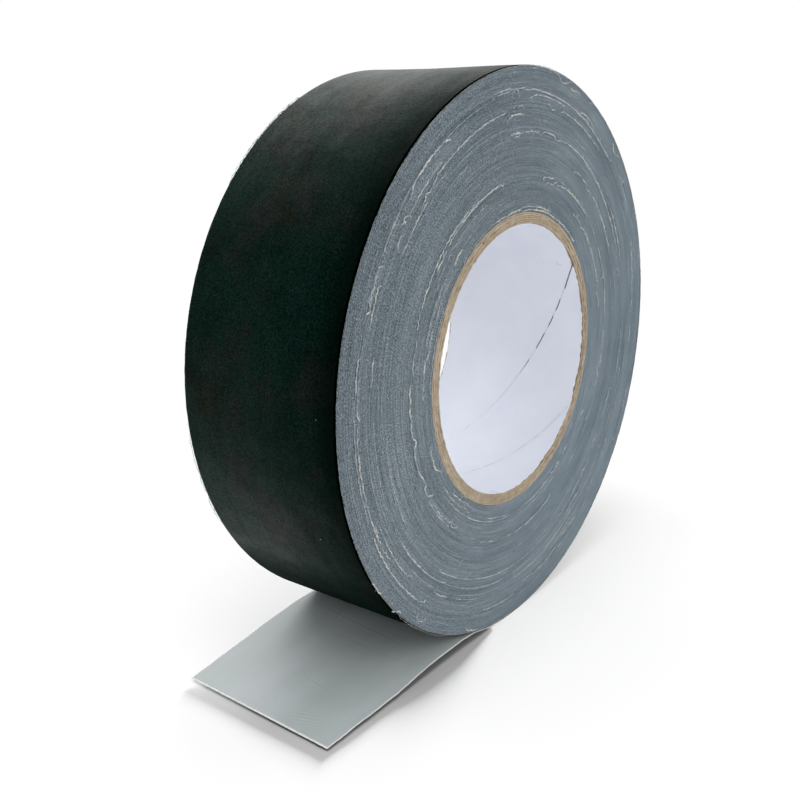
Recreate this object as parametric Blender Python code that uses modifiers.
"""Roll of black cloth duct tape on a spirally wound paper core, with its free end peeled off.

The roll stands on its rim. Its bore runs along Y, the origin is the centre of the bore at mid width,
+Z is up. The strip comes in from -X, lying adhesive side up, meets the roll near the bottom and is
wound counter-clockwise as seen from -Y. All lengths are in metres. Angles run from +X towards +Z.
"""

import math

import bmesh
import bpy
from mathutils import Matrix, Vector

# ---------------------------------------------------------------- driving dimensions
# Widths, along Y
TAPE_WIDTH = 0.0500                     # slit width of the tape
STRIP_INSET = 0.00005                   # the peeled strip lies this far inside each side face
CORE_INSET = 0.00010                    # and the core this far
STRIP_WIDTH = TAPE_WIDTH - 2 * STRIP_INSET
CORE_WIDTH = TAPE_WIDTH - 2 * CORE_INSET

# Core
BORE_RADIUS = 0.0383                    # 3 inch core
LINER_THICKNESS = 0.00022               # white liner paper
PLY_COUNT = 6                           # kraft plies under the tape
PLY_THICKNESS = 0.00050
PLY_GAP = 0.00002                       # glue line between two plies
CORE_STEPS = 60                         # facets round the core

# Butt seams of the plies
SEAM_LEAD = 0.120                       # advance of the plies' spiral in one turn
SEAM_SLIT_RADIUS = 0.00070              # half the open width of a seam
SEAM_STAGGER = math.radians(70)         # from one ply's seam to the next
LINER_SEAM_AT = math.radians(-37)       # where the liner's seam crosses mid width
CUTTER_LENGTH = 1.16 * TAPE_WIDTH       # along Y, so that it runs out past both side faces
CUTTER_MERGE = 0.000001                 # cutter vertices closer than this are joined

# Tape on the roll
ROLL_RADIUS = 0.0791                    # outside of the outermost turn
ROLL_STEPS = 96                         # facets round the tape
CORE_TO_TAPE_GAP = 0.00005
UNDER_OUTER_TURN_GAP = 0.00002
TUBE_MERGE = 0.00001                    # joins the last step of a tube to its first
FLOOR = -ROLL_RADIUS * math.cos(math.pi / ROLL_STEPS)    # the roll stands on one flat facet

# The three layers of the tape
ADHESIVE_THICKNESS = 0.00010
SCRIM_THICKNESS = 0.00008
BACKING_THICKNESS = 0.00008
LAYER_GAP = 0.00001
TAPE_THICKNESS = ADHESIVE_THICKNESS + SCRIM_THICKNESS + BACKING_THICKNESS + 2 * LAYER_GAP
HALF_TAPE = TAPE_THICKNESS / 2

# Stuck part of the strip
PEEL_AT = math.radians(245.8)           # where the strip leaves the roll
PEEL_END = math.radians(262.5)
PEEL_STEPS = 9                          # facets along the arc
PEEL_CLEARANCE = 0.00010                # from the turning roll
PEEL_MID_RADIUS = ROLL_RADIUS + PEEL_CLEARANCE + HALF_TAPE

# Free tail: x and height above the floor of its middle line, at each bend and at the end
TAIL_LINE = [
    (-0.0410, 0.00650),
    (-0.0495, 0.00570),
    (-0.0580, 0.00465),
    (-0.0665, 0.00345),
    (-0.0750, 0.00210),
    (-0.0840, 0.00032),
]
BEND_GAP = 0.00035                      # open space between two lengths of the tail
SPAN_LENGTH = 0.0030                    # the length of tail that stretches out as tape is paid out

EMPTY_SIZE = 0.01                       # drawn size of the axis markers


# ---------------------------------------------------------------- scene and materials
for old in list(bpy.data.objects):
    bpy.data.objects.remove(old, do_unlink=True)


def new_collection(name):
    collection = bpy.data.collections.new(name)
    bpy.context.scene.collection.children.link(collection)
    return collection


PARTS = new_collection("duct_tape_roll")
CUTTERS = new_collection("cutters")


def new_material(name, colour, roughness, coat=0.0):
    material = bpy.data.materials.new(name)
    material.use_nodes = True
    inputs = material.node_tree.nodes["Principled BSDF"].inputs
    inputs["Base Color"].default_value = (*colour, 1.0)
    inputs["Roughness"].default_value = roughness
    inputs["Coat Weight"].default_value = coat
    return material


LINER = new_material("white_liner_paper", colour=(0.74, 0.77, 0.86), roughness=0.62)
KRAFT = new_material("kraft_board", colour=(0.42, 0.32, 0.21), roughness=0.85)
WOUND = new_material("wound_tape_edge", colour=(0.16, 0.20, 0.23), roughness=0.80)
ADHESIVE = new_material("grey_adhesive", colour=(0.42, 0.46, 0.47), roughness=0.38)
SCRIM = new_material("cotton_scrim", colour=(0.72, 0.70, 0.64), roughness=0.90)
BACKING = new_material("black_pe_backing", colour=(0.010, 0.014, 0.013), roughness=0.36, coat=0.2)

# Layers of the tape, from the black side: name, then the two faces measured from the middle of the
# tape towards the adhesive side, then material
SCRIM_LOW = -HALF_TAPE + BACKING_THICKNESS + LAYER_GAP
LAYERS = [
    ("backing", -HALF_TAPE, -HALF_TAPE + BACKING_THICKNESS, BACKING),
    ("scrim", SCRIM_LOW, SCRIM_LOW + SCRIM_THICKNESS, SCRIM),
    ("adhesive", HALF_TAPE - ADHESIVE_THICKNESS, HALF_TAPE, ADHESIVE),
]


# ---------------------------------------------------------------- objects and parents
def new_part(name, data, material=None):
    if material is not None:
        data.materials.append(material)
    part = bpy.data.objects.new(name, data)
    PARTS.objects.link(part)
    return part


def hang(part, parent):
    """Parents a part and keeps it where it is."""
    bpy.context.view_layer.update()
    part.parent = parent
    part.matrix_parent_inverse = parent.matrix_world.inverted()


def new_axis(name, location, parent=None):
    """An empty that marks the origin of a moving body."""
    axis = new_part(name, None)
    axis.empty_display_size = EMPTY_SIZE
    axis.location = location
    if parent is not None:
        hang(axis, parent)
    return axis


# ---------------------------------------------------------------- shapes
def tube(name, inner, outer, width, steps, material, parent):
    """A closed tube round the Y axis: a four-cornered profile, screwed a full turn."""
    half = width / 2
    # the outer side first, so that the faces of the full turn point out
    profile = [(outer, half, 0), (outer, -half, 0), (inner, -half, 0), (inner, half, 0)]
    edges = [(0, 1), (1, 2), (2, 3), (3, 0)]
    mesh = bpy.data.meshes.new(name)
    mesh.from_pydata(profile, edges, [])
    part = new_part(name, mesh, material)
    # half a step round, so that one flat facet faces straight down
    part.rotation_euler = (0, math.pi / steps, 0)
    turn = part.modifiers.new("turn", "SCREW")
    turn.axis = "Y"
    turn.angle = 2 * math.pi
    turn.steps = turn.render_steps = steps
    turn.use_merge_vertices = True
    turn.merge_threshold = TUBE_MERGE
    turn.use_smooth_shade = False
    hang(part, parent)
    return part


def seam_rod(name, radius, angle_mid):
    """A helical rod as a curve: its angle runs down as y runs up, at the plies' lead."""
    turns = CUTTER_LENGTH / SEAM_LEAD
    count = 2 + round(turns * CORE_STEPS)
    curve = bpy.data.curves.new(name, "CURVE")
    curve.dimensions = "3D"
    curve.bevel_depth = SEAM_SLIT_RADIUS
    curve.bevel_resolution = 0
    curve.use_fill_caps = True
    spline = curve.splines.new("POLY")
    spline.points.add(count - 1)
    for i, point in enumerate(spline.points):
        turned = (i / (count - 1) - 0.5) * turns
        angle = angle_mid - turned * 2 * math.pi
        point.co = (radius * math.cos(angle), turned * SEAM_LEAD, radius * math.sin(angle), 1)
    rod = bpy.data.objects.new(name + "_curve", curve)
    CUTTERS.objects.link(rod)
    return rod


def seam_cutter(name, radius, angle_mid):
    """The helical rod as a closed mesh, ready to open a ply's butt seam."""
    rod = seam_rod(name, radius, angle_mid)
    bpy.context.view_layer.update()
    evaluated_rod = rod.evaluated_get(bpy.context.evaluated_depsgraph_get())
    mesh = bpy.data.meshes.new_from_object(evaluated_rod)
    bpy.data.objects.remove(rod, do_unlink=True)
    # the caps come unjoined from the rod's side
    work = bmesh.new()
    work.from_mesh(mesh)
    bmesh.ops.remove_doubles(work, verts=work.verts, dist=CUTTER_MERGE)
    bmesh.ops.recalc_face_normals(work, faces=work.faces)
    work.to_mesh(mesh)
    work.free()
    cutter = bpy.data.objects.new(name, mesh)
    CUTTERS.objects.link(cutter)
    cutter.hide_render = True
    cutter.display_type = "WIRE"
    return cutter


def wound_ply(name, inner, thickness, seam_angle, material, parent):
    """One spirally wound ply of the core: a tube with its butt seam left open."""
    ply = tube(name, inner, inner + thickness, CORE_WIDTH, CORE_STEPS, material, parent)
    cut = ply.modifiers.new("butt_seam", "BOOLEAN")
    cut.operation = "DIFFERENCE"
    cut.solver = "EXACT"
    cut.object = seam_cutter(name + "_seam", inner + thickness / 2, seam_angle)


def arc_layer(name, inner, outer, start, end, material, parent):
    """One layer of the stuck strip: an arc outline in X and Z, given its width along Y."""
    angles = [start + (end - start) * i / PEEL_STEPS for i in range(PEEL_STEPS + 1)]
    points = [(outer * math.cos(angle), outer * math.sin(angle)) for angle in angles]
    points += [(inner * math.cos(angle), inner * math.sin(angle)) for angle in reversed(angles)]
    curve = bpy.data.curves.new(name, "CURVE")
    curve.dimensions = "2D"
    curve.fill_mode = "BOTH"
    curve.extrude = STRIP_WIDTH / 2
    spline = curve.splines.new("POLY")
    spline.points.add(len(points) - 1)
    for point, (x, z) in zip(spline.points, points):
        point.co = (x, z, 0, 1)
    spline.use_cyclic_u = True
    part = new_part(name, curve, material)
    # stands the flat outline up: its local Y becomes Z
    part.rotation_euler = (math.pi / 2, 0, 0)
    hang(part, parent)


def plate(name, start, end, low, high, material, parent):
    """One layer of a straight length of the strip, between two points of its middle line.

    low and high are the layer's faces, measured from the middle line towards the adhesive side.
    """
    along = end - start
    direction = along.normalized()
    up = Vector((direction.z, 0, -direction.x))     # away from the floor, as direction runs to -X
    side = up.cross(direction)
    middle = (start + end) / 2 + up * (low + high) / 2
    size = Matrix.Diagonal((along.length, STRIP_WIDTH, high - low, 1))
    mesh = bpy.data.meshes.new(name)
    work = bmesh.new()
    bmesh.ops.create_cube(work, size=1.0, matrix=size)
    work.to_mesh(mesh)
    work.free()
    part = new_part(name, mesh, material)
    # local X runs along the strip, local Z towards the adhesive side
    turn = Matrix((direction, side, up)).transposed().to_4x4()
    part.matrix_world = Matrix.Translation(middle) @ turn
    hang(part, parent)


def tail_length(prefix, start, end, parent, end_gap=BEND_GAP / 2):
    """All layers of one straight length of the tail, held back from the bends at its ends."""
    direction = (end - start).normalized()
    first = start + direction * BEND_GAP / 2
    last = end - direction * end_gap
    for layer, low, high, material in LAYERS:
        plate(prefix + layer, first, last, low, high, material, parent)


# ---------------------------------------------------------------- pieces
def build_stuck_strip(body):
    """The part of the strip still on the roll. Its adhesive side faces the bore axis."""
    start = PEEL_AT + BEND_GAP / 2 / PEEL_MID_RADIUS
    for layer, low, high, material in LAYERS:
        arc_layer("peel_" + layer, PEEL_MID_RADIUS - high, PEEL_MID_RADIUS - low,
                  start, PEEL_END, material, body)


def build_core(axis):
    """The liner and the kraft plies over it, each with its seam staggered from the last."""
    wound_ply("core_liner_ply", BORE_RADIUS, LINER_THICKNESS, LINER_SEAM_AT, LINER, axis)
    radius = BORE_RADIUS + LINER_THICKNESS + PLY_GAP
    for number in range(1, PLY_COUNT + 1):
        seam_angle = LINER_SEAM_AT - SEAM_STAGGER * number
        wound_ply(f"core_ply_{number}", radius, PLY_THICKNESS, seam_angle, KRAFT, axis)
        radius += PLY_THICKNESS + PLY_GAP


def build_tape(axis):
    """The wound turns as one solid tube, and the outermost turn in its layers."""
    plies_height = PLY_COUNT * (PLY_THICKNESS + PLY_GAP)
    core_outer = BORE_RADIUS + LINER_THICKNESS + PLY_GAP + plies_height
    turns_outer = ROLL_RADIUS - TAPE_THICKNESS - UNDER_OUTER_TURN_GAP
    tube("wound_turns", core_outer + CORE_TO_TAPE_GAP, turns_outer,
         TAPE_WIDTH, ROLL_STEPS, WOUND, axis)
    turn_mid = ROLL_RADIUS - HALF_TAPE
    for layer, low, high, material in LAYERS:
        tube("outer_turn_" + layer, turn_mid - high, turn_mid - low,
             TAPE_WIDTH, ROLL_STEPS, material, axis)


def build_tail(body):
    """The free tail: a chain of hinged lengths, each hung from the one before."""
    joints = [PEEL_MID_RADIUS * Vector((math.cos(PEEL_AT), 0, math.sin(PEEL_AT)))]
    joints += [Vector((x, 0, FLOOR + height)) for x, height in TAIL_LINE]

    parent = body
    for number, (start, end) in enumerate(zip(joints[:-2], joints[1:-1])):
        parent = new_axis(f"tail_{number}_axis", start, parent)
        tail_length(f"tail_{number}_", start, end, parent)

    # the last length: a short span that draws out, then the end itself, which slides away
    start, end = joints[-2:]
    split = start + (end - start).normalized() * SPAN_LENGTH
    tail_length("tail_span_", start, split, parent)
    slide = new_axis("tail_end_slide", split, parent)
    tail_length("tail_end_", split, end, slide, end_gap=0)


# The stuck strip is the fixed body; the roll turns about the bore axis
peel_body = new_axis("peel_body", (0, 0, 0))
build_stuck_strip(peel_body)
roll_axis = new_axis("roll_axis", (0, 0, 0), peel_body)
build_core(roll_axis)
build_tape(roll_axis)
build_tail(peel_body)
